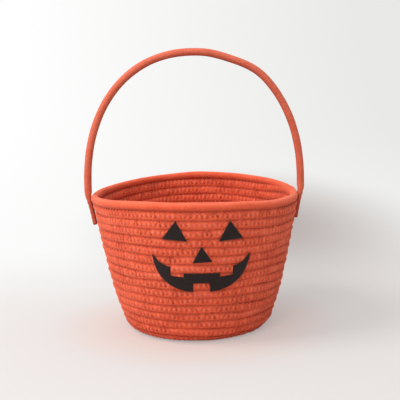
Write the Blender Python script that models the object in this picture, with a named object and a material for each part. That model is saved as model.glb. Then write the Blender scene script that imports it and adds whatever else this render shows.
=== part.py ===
"""Round basket coiled from one cotton rope, with a swinging rope handle and a pumpkin face.

Units are metres, +Z is up. The origin is on the table under the middle of the base, the face
looks towards -Y, and the handle's two feet are sewn on at -X and +X.
"""

import math

import bmesh
import bpy
import numpy as np
from mathutils import Vector

# Rope of the basket and how closely its rows lie
ROPE_DIAMETER = 0.0080
ROW_GAP = 0.0006
BASE_FLAT_DEPTH = 0.0008

# Basket's shape, through the middle of the rope
RIM_CENTRE_RADIUS = 0.1010
RIM_CENTRE_HEIGHT = 0.1373
FLAT_BASE_RADIUS = 0.0605
CORNER_RADIUS = 0.0148
WALL_BULGE = 0.0016
COIL_START_RADIUS = 0.0055

# Rope's tapered end, which lies down on the row below beside the right foot
TAIL_LENGTH = 0.0280
TAIL_END_DIAMETER = 0.0024

# Handle rope and its arch above the rim
HANDLE_ROPE_DIAMETER = 0.0076
HANDLE_RISE = 0.1340
HANDLE_SQUARENESS = 2.2

# Handle feet, sewn flat on the outside of the wall
FOOT_LENGTH = 0.0330
FOOT_WIDTH = 0.0102
FOOT_THICKNESS = 0.0046
FOOT_ROUNDING = 0.0030
FOOT_DROP = 0.0007
CUT_END_BEVEL = 0.0010
CUT_END_SHARE = 0.78

# Stitching that holds each foot
THREAD_DIAMETER = 0.0009
STITCHING_WIDTH = 0.0056
STITCHING_LENGTH = 0.0230
STITCHING_MARGIN = 0.0050
STITCH_CROSSINGS = 9

# Felt of the face, and its patches' places below the middle of the rim row
FELT_THICKNESS = 0.0010
EYE_WIDTH = 0.0235
EYE_HEIGHT = 0.0185
EYE_SPACING = 0.0527
EYE_TILT = math.radians(3.0)
EYE_BASE_DROP = 0.0304
NOSE_WIDTH = 0.0180
NOSE_HEIGHT = 0.0160
NOSE_BASE_DROP = 0.0528
MOUTH_WIDTH = 0.0980
MOUTH_TIP_HEIGHT = 0.0390
MOUTH_BOTTOM_DROP = 0.0832

# Teeth, as heights above the bottom of the mouth and distances from its middle
WING_CORNER_HEIGHT = 0.0273
UPPER_TOOTH_OUTER = 0.0300
UPPER_TOOTH_INNER = 0.0165
UPPER_TOOTH_HEIGHT = 0.0168
MIDDLE_BLOCK_HEIGHT = 0.0202
LOWER_TOOTH_WIDTH = 0.0150
LOWER_TOOTH_HEIGHT = 0.0098

# Space between pieces that touch
TOUCH_GAP = 0.0003

# How finely the round shapes are divided
POINTS_PER_LOOP = 24
CORNER_STEPS = 24
WALL_STEPS = 48
ARCH_STEPS = 36
DOME_STEPS = 4
DOME_TIP_SHARE = 0.3
FOOT_SIDES = 14
FOOT_STEPS = 9
STITCH_STEPS = 3
FELT_STEP = 0.0060
FELT_SNAP = 0.00005
MOUTH_ARC_STEPS = 10
WING_STEPS = 4

ROPE_RADIUS = ROPE_DIAMETER / 2
ROW_PITCH = ROPE_DIAMETER + ROW_GAP
BASE_CENTRE_HEIGHT = ROPE_RADIUS - BASE_FLAT_DEPTH
HANDLE_RADIUS = HANDLE_ROPE_DIAMETER / 2
PIVOT_X = RIM_CENTRE_RADIUS + ROPE_RADIUS + TOUCH_GAP + HANDLE_RADIUS
PIVOT_HEIGHT = RIM_CENTRE_HEIGHT + ROPE_RADIUS + HANDLE_RADIUS
FOOT_TOP = PIVOT_HEIGHT - HANDLE_RADIUS - FOOT_DROP
FRONT_ANGLE = -math.pi / 2
FRONT_TURN = 0.75


def make_material(name, colour, roughness):
    """A Principled material with one colour and roughness, and no metal."""
    material = bpy.data.materials.new(name)
    material.use_nodes = True
    shader = material.node_tree.nodes["Principled BSDF"]
    shader.inputs["Base Color"].default_value = (*colour, 1.0)
    shader.inputs["Roughness"].default_value = roughness
    shader.inputs["Metallic"].default_value = 0.0
    return material


def add_object(name, data, material):
    """Link an object with its own material, and return it."""
    data.materials.append(material)
    item = bpy.data.objects.new(name, data)
    bpy.context.scene.collection.objects.link(item)
    return item


def make_tube(name, points, radii, resolution, twist):
    """A tube with filled ends along points, whose radius is given at each of them."""
    curve = bpy.data.curves.new(name, "CURVE")
    curve.dimensions = "3D"
    curve.twist_mode = twist
    curve.bevel_depth = max(radii)
    curve.bevel_resolution = resolution
    curve.use_fill_caps = True
    spline = curve.splines.new("POLY")
    spline.points.add(len(points) - 1)
    for knot, place, radius in zip(spline.points, points, radii):
        knot.co = (*place, 1.0)
        knot.radius = radius / curve.bevel_depth
    return curve


def basket_profile():
    """Radius and height of the rope's middle from the centre of the base to above the rim.

    The base is flat, the corner is an arc, and the wall leans out with a slight bulge. The corner
    turns until it meets the wall without a kink, which a few rounds of trying settle.
    """
    turn = math.radians(75.0)
    for _ in range(20):
        corner_end = corner_point(turn)
        run = RIM_CENTRE_RADIUS - corner_end[0]
        rise = RIM_CENTRE_HEIGHT - corner_end[1]
        turn = math.atan2(rise, run + 4 * WALL_BULGE)
    points = [(0.0, BASE_CENTRE_HEIGHT)]
    points += [corner_point(turn * step / CORNER_STEPS) for step in range(CORNER_STEPS + 1)]
    for step in range(1, WALL_STEPS + 1):
        share = step / WALL_STEPS
        bulge = 4 * WALL_BULGE * share * (1 - share)
        points.append((corner_end[0] + run * share + bulge, corner_end[1] + rise * share))
    points = np.array(points)
    above_rim = points[-1] + (points[-1] - points[-2]) * WALL_STEPS
    return np.vstack([points, above_rim])


def corner_point(turn):
    """Point on the corner's arc, where the rope has turned up from the base by an angle."""
    radius = FLAT_BASE_RADIUS + CORNER_RADIUS * math.sin(turn)
    height = BASE_CENTRE_HEIGHT + CORNER_RADIUS * (1 - math.cos(turn))
    return radius, height


PROFILE = basket_profile()
PROFILE_LENGTH = np.concatenate([[0.0], np.cumsum(np.hypot(*np.diff(PROFILE, axis=0).T))])
RIM_LENGTH = PROFILE_LENGTH[-2]


def profile_at(length, lift=0.0):
    """Radius and height at a length along the profile, lifted off it to the outside."""
    ahead = min(length + ROPE_RADIUS / 4, PROFILE_LENGTH[-1])
    behind = ahead - ROPE_RADIUS / 2
    radius, radius_ahead, radius_behind = np.interp([length, ahead, behind], PROFILE_LENGTH, PROFILE[:, 0])
    height, height_ahead, height_behind = np.interp([length, ahead, behind], PROFILE_LENGTH, PROFILE[:, 1])
    along = Vector((radius_ahead - radius_behind, height_ahead - height_behind)).normalized()
    return radius + lift * along.y, height - lift * along.x


def coil_path():
    """Points and radii of the one rope, from the middle of the base to its tail at the rim.

    The rope climbs one row for each turn, clockwise as seen from above, and passes the rim's named
    height at the front. Its last stretch tapers and comes to lie on the row below.
    """
    end_length = RIM_LENGTH + FRONT_TURN * ROW_PITCH
    loops = (end_length - COIL_START_RADIUS) / ROW_PITCH
    steps = round(loops * POINTS_PER_LOOP)
    tail_turns = TAIL_LENGTH / (2 * math.pi * RIM_CENTRE_RADIUS)
    points = []
    radii = []
    for step in range(steps + 1):
        turns_left = (steps - step) / POINTS_PER_LOOP
        taper = max(0.0, 1 - turns_left / tail_turns)
        radius = ROPE_RADIUS + (TAIL_END_DIAMETER / 2 - ROPE_RADIUS) * taper
        length = end_length - turns_left * ROW_PITCH - (ROPE_RADIUS - radius)
        out, height = profile_at(length)
        angle = 2 * math.pi * turns_left
        points.append((out * math.cos(angle), out * math.sin(angle), height))
        radii.append(radius)
    return points, radii


def least_gap(points, radii):
    """Smallest space between two stretches of a tube that are half a loop or more apart."""
    places = np.array(points)
    sizes = np.array(radii)
    gaps = []
    for index in range(len(places) - POINTS_PER_LOOP // 2):
        later = index + POINTS_PER_LOOP // 2
        distance = np.linalg.norm(places[later:] - places[index], axis=1)
        gaps.append((distance - sizes[later:] - sizes[index]).min())
    return min(gaps)


def cut_flat_below(item):
    """Cut off what an object has below the table, so that the basket stands on flat rope."""
    mesh = bpy.data.meshes.new("table_cutter")
    shape = bmesh.new()
    bmesh.ops.create_cube(shape, size=1.0)
    size = 4 * RIM_CENTRE_RADIUS
    bmesh.ops.scale(shape, vec=(size, size, ROPE_DIAMETER), verts=shape.verts)
    bmesh.ops.translate(shape, vec=(0, 0, -ROPE_RADIUS), verts=shape.verts)
    shape.to_mesh(mesh)
    shape.free()
    cutter = bpy.data.objects.new("table_cutter", mesh)
    cutter.hide_render = True
    cutter.display_type = "WIRE"
    bpy.context.scene.collection.objects.link(cutter)
    cut = item.modifiers.new("flat_underside", "BOOLEAN")
    cut.operation = "DIFFERENCE"
    cut.solver = "EXACT"
    cut.object = cutter


def make_basket_coil(material):
    """The whole basket: base, corner, wall and rim in one unbroken rope."""
    points, radii = coil_path()
    print(f"least gap between rows: {least_gap(points, radii) * 1000:.2f} mm")
    curve = make_tube("basket_coil", points, radii, resolution=1, twist="Z_UP")
    rope = bpy.data.objects.new("coil_curve", curve)
    bpy.context.scene.collection.objects.link(rope)
    bpy.context.view_layer.update()
    evaluated = rope.evaluated_get(bpy.context.evaluated_depsgraph_get())
    mesh = bpy.data.meshes.new_from_object(evaluated)
    bpy.data.objects.remove(rope)
    mesh.shade_smooth()
    mesh.set_sharp_from_angle(angle=math.radians(70))
    coil = add_object("basket_coil", mesh, material)
    cut_flat_below(coil)
    return coil


def round_end():
    """Shares of reach and width of a round rope end, from close to its tip to its full width."""
    shares = []
    for step in range(DOME_STEPS):
        angle = math.pi / 2 * (1 - (step + DOME_TIP_SHARE) / DOME_STEPS)
        shares.append((math.sin(angle), math.cos(angle)))
    return shares


def make_handle_arch(material):
    """Free stretch of the handle rope, with a round end about the hinge axis on either side."""
    right_end = []
    for reach, width in round_end():
        right_end.append(((PIVOT_X, 0.0, -HANDLE_RADIUS * reach), HANDLE_RADIUS * width))
    arch = []
    for step in range(ARCH_STEPS + 1):
        angle = math.pi * step / ARCH_STEPS
        out = math.copysign(abs(math.cos(angle)) ** (2 / HANDLE_SQUARENESS), math.cos(angle))
        up = abs(math.sin(angle)) ** (2 / HANDLE_SQUARENESS)
        arch.append(((PIVOT_X * out, 0.0, HANDLE_RISE * up), HANDLE_RADIUS))
    left_end = [((-x, y, z), radius) for (x, y, z), radius in reversed(right_end)]
    knots = right_end + arch + left_end
    points = [place for place, radius in knots]
    radii = [radius for place, radius in knots]
    curve = make_tube("handle_arch", points, radii, resolution=3, twist="MINIMUM")
    handle = add_object("handle_arch", curve, material)
    handle.location = (0.0, 0.0, PIVOT_HEIGHT)
    return handle


def outside_radius(height, lift):
    """Radius of the wall's outside at a height, lifted off the rows' crests."""
    lengths = np.linspace(FLAT_BASE_RADIUS, PROFILE_LENGTH[-1], 400)
    lifted = np.array([profile_at(length, ROPE_RADIUS + lift) for length in lengths])
    return float(np.interp(height, lifted[:, 1], lifted[:, 0]))


def foot_section(height):
    """Middle, half thickness and half width of a handle foot at a height.

    The rope is pressed flat along the wall and comes back to its round section at the hinge.
    """
    share = min(max((height - FOOT_TOP) / FOOT_LENGTH + 1, 0.0), 1.0)
    round_share = share ** 5
    half_thickness = FOOT_THICKNESS / 2 + (HANDLE_RADIUS - FOOT_THICKNESS / 2) * round_share
    half_width = FOOT_WIDTH / 2 + (HANDLE_RADIUS - FOOT_WIDTH / 2) * round_share
    against_wall = outside_radius(height, TOUCH_GAP) + half_thickness
    middle = against_wall + (PIVOT_X - against_wall) * round_share
    return middle, half_thickness, half_width


def make_handle_foot(name, side, material):
    """One end of the handle rope, sewn flat on the outside of the wall; side is -1 or 1."""
    bottom = FOOT_TOP - FOOT_LENGTH
    first = bottom + CUT_END_BEVEL
    last = FOOT_TOP - FOOT_ROUNDING
    slices = [(bottom, CUT_END_SHARE)]
    slices += [(first + (last - first) * step / FOOT_STEPS, 1.0) for step in range(FOOT_STEPS + 1)]
    slices += [(last + FOOT_ROUNDING * reach, width) for reach, width in reversed(round_end())]
    shape = bmesh.new()
    rings = []
    for height, share in slices:
        middle, half_thickness, half_width = foot_section(height)
        ring = []
        for corner in range(FOOT_SIDES):
            angle = 2 * math.pi * corner / FOOT_SIDES
            out = middle + half_thickness * share * math.cos(angle)
            across = half_width * share * math.sin(angle)
            ring.append(shape.verts.new((side * out, side * across, height)))
        rings.append(ring)
    shape.faces.new(reversed(rings[0]))
    shape.faces.new(rings[-1])
    for lower, upper in zip(rings, rings[1:]):
        for corner in range(FOOT_SIDES):
            beside = (corner + 1) % FOOT_SIDES
            shape.faces.new((lower[corner], lower[beside], upper[beside], upper[corner]))
    mesh = bpy.data.meshes.new(name)
    shape.to_mesh(mesh)
    shape.free()
    mesh.shade_smooth()
    mesh.set_sharp_from_angle(angle=math.radians(50))
    return add_object(name, mesh, material)


def make_foot_stitching(name, side, material):
    """Zigzag of thread down the outer face of one foot; side is -1 or 1."""
    start = FOOT_TOP - STITCHING_MARGIN
    thread_radius = THREAD_DIAMETER / 2
    points = []
    for crossing in range(STITCH_CROSSINGS):
        direction = 1 if crossing % 2 == 0 else -1
        for step in range(STITCH_STEPS):
            share = step / STITCH_STEPS
            height = start - STITCHING_LENGTH * (crossing + share) / STITCH_CROSSINGS
            across = direction * STITCHING_WIDTH * (share - 0.5)
            middle, half_thickness, half_width = foot_section(height)
            lift = TOUCH_GAP + thread_radius
            bow = math.sqrt(1 - (across / (half_width + lift)) ** 2)
            out = middle + (half_thickness + lift) * bow
            points.append((side * out, side * across, height))
    radii = [thread_radius] * len(points)
    curve = make_tube(name, points, radii, resolution=1, twist="MINIMUM")
    return add_object(name, curve, material)


def felt_place(across, along, lift):
    """Place on the wall, across from the face's middle, along the profile and lifted off it."""
    out, height = profile_at(along, ROPE_RADIUS + TOUCH_GAP + lift)
    angle = FRONT_ANGLE + across / out
    return out * math.cos(angle), out * math.sin(angle), height


def make_felt_patch(name, outline, material):
    """Felt cut to a flat outline and laid round the wall.

    The outline is in distance across and length along the profile. It is cut into strips, so that
    it can bend, made as thick as the felt, and then every corner is moved on to the wall.
    """
    shape = bmesh.new()
    corners = [shape.verts.new((across, along, 0.0)) for across, along in outline]
    shape.faces.new(corners)
    for axis in range(2):
        low = min(corner[axis] for corner in outline)
        high = max(corner[axis] for corner in outline)
        step = FELT_STEP * (1 + axis)
        count = math.ceil((high - low) / step)
        normal = (1, 0, 0) if axis == 0 else (0, 1, 0)
        for index in range(1, count):
            place = [0.0, 0.0, 0.0]
            place[axis] = low + (high - low) * index / count
            everything = shape.verts[:] + shape.edges[:] + shape.faces[:]
            bmesh.ops.bisect_plane(
                shape, geom=everything, dist=FELT_SNAP, plane_co=place, plane_no=normal
            )
    bmesh.ops.triangulate(shape, faces=shape.faces[:])
    flat = shape.faces[:]
    extruded = bmesh.ops.extrude_face_region(shape, geom=flat)
    outer = [item for item in extruded["geom"] if isinstance(item, bmesh.types.BMVert)]
    bmesh.ops.translate(shape, vec=(0, 0, FELT_THICKNESS), verts=outer)
    for corner in shape.verts:
        corner.co = felt_place(*corner.co)
    bmesh.ops.recalc_face_normals(shape, faces=shape.faces[:])
    if shape.calc_volume(signed=True) < 0:
        bmesh.ops.reverse_faces(shape, faces=shape.faces[:])
    mesh = bpy.data.meshes.new(name)
    shape.to_mesh(mesh)
    shape.free()
    return add_object(name, mesh, material)


def triangle_outline(middle, base_drop, width, height, tilt):
    """Isosceles triangle that stands on its base, turned about the middle of the base."""
    base = RIM_LENGTH - base_drop
    outline = []
    for across, up in ((-width / 2, 0.0), (width / 2, 0.0), (0.0, height)):
        turned_across = across * math.cos(tilt) - up * math.sin(tilt)
        turned_up = across * math.sin(tilt) + up * math.cos(tilt)
        outline.append((middle + turned_across, base + turned_up))
    return outline


def mouth_outline():
    """Grin with an arc below, two square notches above and one tooth standing up from below."""
    half = MOUTH_WIDTH / 2
    arc_radius = (half ** 2 + MOUTH_TIP_HEIGHT ** 2) / (2 * MOUTH_TIP_HEIGHT)
    tip_angle = math.atan2(half, arc_radius - MOUTH_TIP_HEIGHT)
    tooth_angle = math.asin(LOWER_TOOTH_WIDTH / 2 / arc_radius)
    right = [(LOWER_TOOTH_WIDTH / 2, LOWER_TOOTH_HEIGHT)]
    for step in range(MOUTH_ARC_STEPS + 1):
        angle = tooth_angle + (tip_angle - tooth_angle) * step / MOUTH_ARC_STEPS
        right.append((arc_radius * math.sin(angle), arc_radius * (1 - math.cos(angle))))
    wing_rise = MOUTH_TIP_HEIGHT - WING_CORNER_HEIGHT
    for step in range(WING_STEPS - 1, -1, -1):
        share = step / WING_STEPS
        across = UPPER_TOOTH_OUTER + (half - UPPER_TOOTH_OUTER) * share
        right.append((across, WING_CORNER_HEIGHT + wing_rise * share ** 2))
    right.append((UPPER_TOOTH_OUTER, UPPER_TOOTH_HEIGHT))
    right.append((UPPER_TOOTH_INNER, UPPER_TOOTH_HEIGHT))
    right.append((UPPER_TOOTH_INNER, MIDDLE_BLOCK_HEIGHT))
    left = [(-across, up) for across, up in reversed(right)]
    bottom = RIM_LENGTH - MOUTH_BOTTOM_DROP
    return [(across, bottom + up) for across, up in right + left]


def make_face(material_values):
    """The two eyes, whose outer corners are the higher ones, the nose and the mouth."""
    eye = (EYE_BASE_DROP, EYE_WIDTH, EYE_HEIGHT)
    nose = (NOSE_BASE_DROP, NOSE_WIDTH, NOSE_HEIGHT)
    outlines = {
        "eye_patch_left": triangle_outline(-EYE_SPACING / 2, *eye, -EYE_TILT),
        "eye_patch_right": triangle_outline(EYE_SPACING / 2, *eye, EYE_TILT),
        "nose_patch": triangle_outline(0.0, *nose, 0.0),
        "mouth_patch": mouth_outline(),
    }
    for name, outline in outlines.items():
        make_felt_patch(name, outline, make_material(name, *material_values))


def main():
    for item in list(bpy.data.objects):
        bpy.data.objects.remove(item)
    cotton = ((0.62, 0.10, 0.035), 0.9)
    knitted = ((0.60, 0.095, 0.035), 0.85)
    thread = ((0.50, 0.075, 0.03), 0.7)
    felt = ((0.018, 0.016, 0.015), 0.95)
    make_basket_coil(make_material("basket_coil", *cotton))
    make_handle_arch(make_material("handle_arch", *knitted))
    for label, side in (("left", -1), ("right", 1)):
        foot = f"handle_foot_{label}"
        stitching = f"foot_stitching_{label}"
        make_handle_foot(foot, side, make_material(foot, *knitted))
        make_foot_stitching(stitching, side, make_material(stitching, *thread))
    make_face(felt)


main()
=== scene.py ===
"""Rope basket with a pumpkin face: the sewn rope, the handle, the felt and the studio round them."""

import math

import bpy
import numpy as np
from mathutils import Matrix, Vector


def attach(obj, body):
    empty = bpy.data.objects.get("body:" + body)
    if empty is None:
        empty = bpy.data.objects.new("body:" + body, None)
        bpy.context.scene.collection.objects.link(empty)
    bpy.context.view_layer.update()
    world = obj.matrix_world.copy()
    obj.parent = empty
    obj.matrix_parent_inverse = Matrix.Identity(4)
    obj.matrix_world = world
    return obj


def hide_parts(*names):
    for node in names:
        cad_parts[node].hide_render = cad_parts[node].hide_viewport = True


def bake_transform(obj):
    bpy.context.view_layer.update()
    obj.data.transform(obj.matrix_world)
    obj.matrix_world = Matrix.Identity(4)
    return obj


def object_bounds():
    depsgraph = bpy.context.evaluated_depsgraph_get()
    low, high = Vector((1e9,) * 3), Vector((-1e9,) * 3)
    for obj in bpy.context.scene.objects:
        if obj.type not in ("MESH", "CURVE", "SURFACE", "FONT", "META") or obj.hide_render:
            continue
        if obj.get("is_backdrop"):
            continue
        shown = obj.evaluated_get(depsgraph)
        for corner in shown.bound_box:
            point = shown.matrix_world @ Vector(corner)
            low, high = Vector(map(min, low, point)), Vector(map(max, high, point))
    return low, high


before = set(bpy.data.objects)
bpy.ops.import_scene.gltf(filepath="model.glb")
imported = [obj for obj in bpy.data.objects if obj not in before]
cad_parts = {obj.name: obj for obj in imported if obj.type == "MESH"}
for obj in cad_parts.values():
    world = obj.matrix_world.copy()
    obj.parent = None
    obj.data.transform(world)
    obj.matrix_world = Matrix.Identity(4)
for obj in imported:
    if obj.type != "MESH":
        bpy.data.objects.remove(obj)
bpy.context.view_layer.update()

# Camera
# It stands a little to the left of the basket's middle, looks down by ten degrees, and is held
# slightly out of level, as the one that took the photograph was.
camera_place = Vector((-0.0482, -0.9187, 0.2900))
camera_turn = math.radians(-3.30)
camera_pitch = math.radians(9.95)
camera_roll = -0.0254
camera_data = bpy.data.cameras.new("camera")
camera_data.sensor_width = 36.0
camera_data.lens = 82.3
camera = bpy.data.objects.new("camera", camera_data)
bpy.context.scene.collection.objects.link(camera)
camera.matrix_world = (
    Matrix.Translation(camera_place)
    @ Matrix.Rotation(camera_turn, 4, "Z")
    @ Matrix.Rotation(math.pi / 2 - camera_pitch, 4, "X")
    @ Matrix.Rotation(camera_roll, 4, "Z")
)
bpy.context.scene.camera = camera

# Basket's rope
# One soft 8 mm cotton rope, dyed orange, lies in a flat spiral for the base and climbs a row for
# each turn, clockwise as seen from above, to a tapered end that is tucked in at the right handle.
# Sewing presses its rows together and flattens their faces. Lengths are in metres.
rope_radius = 0.0040
rope_tail_radius = 0.0012
rope_tail_length = 0.0220
tuck_turns = 0.13
tuck_haste = 1.08
row_pitch = 0.0086
row_half_depth = 0.00395
row_half_height = 0.00490
rim_top_height = 0.00430
row_squareness = 5.0
row_crown = 0.26
rim_squareness = 2.05
groove_start = 0.70
groove_full = 0.90
rim_radius = 0.1010
rim_height = 0.1373
flat_base_radius = 0.0605
corner_radius = 0.0148
wall_bulge = 0.0016
base_height = 0.0032
coil_start_radius = 0.0012
coil_start_turn = -0.14
coil_start_size = 0.72
coil_start_turns = 0.45
rows_past_rim = 0.75
corner_points = 24
wall_points = 48
ring_step = 0.000575
settling_rounds = 20


def run_along(path):
    """Length along a path up to each of its points."""
    return np.concatenate([[0.0], np.cumsum(np.linalg.norm(np.diff(path, axis=0), axis=1))])


def corner_point(turn):
    """Where the rope's middle is when it has turned up from the base by an angle."""
    radius = flat_base_radius + corner_radius * math.sin(turn)
    return radius, base_height + corner_radius * (1 - math.cos(turn))


# The corner ends at the angle at which the wall's parabola leaves it, which a few rounds settle.
corner_turn = math.radians(75.0)
for _ in range(settling_rounds):
    corner_end = corner_point(corner_turn)
    wall_run = rim_radius - corner_end[0]
    wall_rise = rim_height - corner_end[1]
    corner_turn = math.atan2(wall_rise, wall_run + 4 * wall_bulge)
profile = [(0.0, base_height)]
profile += [corner_point(corner_turn * step / corner_points) for step in range(corner_points + 1)]
for step in range(1, wall_points + 1):
    share = step / wall_points
    bulge = 4 * wall_bulge * share * (1 - share)
    profile.append((corner_end[0] + wall_run * share + bulge, corner_end[1] + wall_rise * share))
profile = np.array(profile)
profile = np.vstack([profile, profile[-1] + (profile[-1] - profile[-2]) * wall_points])
profile_length = run_along(profile)
rim_length = profile_length[-2]
end_length = rim_length + rows_past_rim * row_pitch
loops = (end_length - coil_start_radius) / row_pitch
tail_turns = rope_tail_length / (2 * math.pi * rim_radius)


def tucked(left):
    """How far the rope has sunk into the row below when some turns are left, from 0 to 1."""
    share = np.clip(tuck_haste * (1 - left / tuck_turns), 0, 1)
    return share * share * (3 - 2 * share)


def profile_at(length):
    """Radius and height of the profile at lengths along it, and its direction there."""
    ahead = np.minimum(length + rope_radius / 4, profile_length[-1])
    behind = ahead - rope_radius / 2
    places = np.stack([length, ahead, behind])
    radius, height = (np.interp(places, profile_length, values) for values in profile.T)
    along = np.stack([radius[1] - radius[2], height[1] - height[2]], axis=-1)
    along /= np.linalg.norm(along, axis=-1, keepdims=True)
    return radius[0], height[0], along


def rope_at(turn):
    """Middle of the rope after some turns, the ways out of the wall and up along it, and its size."""
    left = loops - turn
    size = 1 + (rope_tail_radius / rope_radius - 1) * np.clip(1 - left / tail_turns, 0, None)
    length = end_length - (left + tucked(left)) * row_pitch - rope_radius * (1 - size)
    radius, height, along = profile_at(length)
    angle = 2 * math.pi * left
    spoke = np.stack([np.cos(angle), np.sin(angle), np.zeros_like(angle)], axis=-1)
    middle = radius[..., None] * spoke
    middle[..., 2] = height
    outward = along[..., 1:] * spoke
    outward[..., 2] = -along[..., 0]
    upward = along[..., :1] * spoke
    upward[..., 2] = along[..., 1]
    grown = coil_start_size + (1 - coil_start_size) * turn / coil_start_turns
    return middle, outward, upward, size * np.clip(grown, coil_start_size, 1)


def face_share(share, squareness, crown):
    """How far out a row's face stands at a share of its half height, for a squarer or rounder row."""
    share = np.clip(np.abs(share), 0, 1)
    return (1 - share ** squareness) ** (1 / squareness) * (1 - crown * share ** 2)


table_places = 6001
turn_table = np.linspace(coil_start_turn, loops, table_places)
run_table = run_along(rope_at(turn_table)[0])
rope_length = run_table[-1]


def run_at(turn):
    """Length of rope that is laid after some turns."""
    return np.interp(turn, turn_table, run_table)


def turn_at(run):
    """Turns that a length of rope makes."""
    return np.interp(run, run_table, turn_table)


# Unevenness
# A sewn basket is never quite true. Its rim dips at both handles, the left one pulls it out, and
# the rows under it are drawn along. The base's outermost rows lift a little from the table, and the
# waist above them is drawn in.
rim_lowered = -0.00077
rim_lean_right = -0.00098
rim_lean_back = -0.00038
rim_saddle = -0.00268
rim_twist = 0.00131
step_spread = 6
lift_radius = 0.0480
lift_width = 0.0240
lift_height = 0.0220
base_lift = 0.0012
waist_draw = 0.020
waist_height = 0.0160
waist_reach = 0.0120
corner_top = 0.0120
left_pull = 0.0011
left_pull_width = 0.50
left_pull_foot = 0.1260
left_pull_rise = 0.0080
compass = np.radians(np.arange(360))
turns_left = compass / (2 * math.pi)
laid_height = profile_at(end_length - (turns_left + tucked(turns_left)) * row_pitch)[1]
spread = np.hanning(2 * step_spread + 1)
spread /= spread.sum()
laid_height = np.convolve(np.tile(laid_height, 3), spread, "same")[len(compass):2 * len(compass)]
true_height = rim_height + rim_lowered + rim_lean_right * np.cos(compass) + rim_lean_back * np.sin(compass)
true_height += rim_saddle * np.cos(2 * compass) + rim_twist * np.sin(2 * compass)
row_draw = true_height / laid_height


def drawn_at(angle):
    """How far the rows are drawn up or down at angles round the basket."""
    return np.interp(angle, compass, row_draw, period=2 * math.pi)


def wall_radius(height):
    """Radius of the rows' middles at a height, from the top of the corner upwards."""
    return np.interp(np.maximum(height, corner_top), profile[:, 1], profile[:, 0])


def settled(place):
    """Where places of the true basket are on the uneven one, whose rows slide along its wall."""
    place = np.array(place)
    old_height = place[..., 2]
    outer = np.clip((np.hypot(place[..., 0], place[..., 1]) - lift_radius) / lift_width, 0, 1)
    lift = base_lift * outer ** 2 * np.exp(-((old_height / lift_height) ** 2))
    new_height = old_height * drawn_at(np.arctan2(place[..., 1], place[..., 0])) + lift
    waist = 1 - waist_draw * np.exp(-(((new_height - waist_height) / waist_reach) ** 2))
    from_left = np.arctan2(place[..., 1], -place[..., 0]) / left_pull_width
    pull = left_pull / rim_radius * np.exp(-(from_left ** 2))
    pull = 1 + pull * np.clip((new_height - left_pull_foot) / left_pull_rise, 0, 1)
    place[..., :2] *= (wall_radius(new_height) / wall_radius(old_height) * waist * pull)[..., None]
    place[..., 2] = new_height
    return place


# Seam
# A zigzag machine stitch runs over every groove and joins each row to the one below it. Each stitch
# bites into the middle of the lower row, where it leaves an upright dimple, and catches the lower
# edge of the upper row. The rope bulges between the dimples, and no two stitches are quite alike.
stitch_pitch = 0.0046
low_hole_height = 0.0000
high_hole_height = 0.0054
dimple_depth = 0.00110
dimple_width = 0.00085
dimple_height = 0.00120
dimple_sharpness = 2.5
furrow_depth_outside = 0.00075
furrow_depth_inside = 0.00080
furrow_width = 0.00062
catch_depth = 0.00045
catch_width = 0.00060
bead_height = 0.00050
bead_rise = 0.0016
bead_reach = 0.0020
low_hole_scatter = 0.09
high_hole_scatter = 0.10
low_height_scatter = 0.00040
high_height_scatter = 0.00022
tension_stitches = 11
mean_pull = 0.80
pull_by_tension = 0.28
pull_scatter = 0.38
least_pull = 0.08
most_pull = 1.6
slant_scatter = 0.32
bead_scatter = 0.5
most_bead = 1.8
seam_stops = 0.7
stitch_dice = np.random.default_rng(31)
stitch_count = int(run_at(loops - 1) / stitch_pitch) + 2
stitch_number = np.arange(stitch_count)
low_run = (stitch_number + stitch_dice.normal(0, low_hole_scatter, stitch_count)) * stitch_pitch
high_run = (stitch_number + 0.5 + stitch_dice.normal(0, high_hole_scatter, stitch_count)) * stitch_pitch
low_height = low_hole_height + stitch_dice.normal(0, low_height_scatter, stitch_count)
high_height = high_hole_height + stitch_dice.normal(0, high_height_scatter, stitch_count)
tension = np.convolve(stitch_dice.normal(0, 1, stitch_count), np.hanning(tension_stitches) / 2, "same")
stitch_pull = mean_pull + pull_by_tension * tension + stitch_dice.normal(0, pull_scatter, stitch_count)
stitch_pull = np.clip(stitch_pull, least_pull, most_pull)
stitch_slant = stitch_dice.normal(0, slant_scatter, stitch_count)
bead_swell = np.clip(stitch_dice.normal(1.0, bead_scatter, stitch_count), 0.0, most_bead)
seam_end = run_at(loops - 1 - seam_stops * tuck_turns)


def far_from_line(run, height, run_a, height_a, run_b, height_b):
    """Distance from a place on the wall to the straight thread between two needle holes."""
    way_run, way_height = run_b - run_a, height_b - height_a
    share = ((run - run_a) * way_run + (height - height_a) * way_height) / (way_run ** 2 + way_height ** 2)
    share = np.clip(share, 0, 1)
    return np.hypot(run - run_a - share * way_run, height - height_a - share * way_height)


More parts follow.
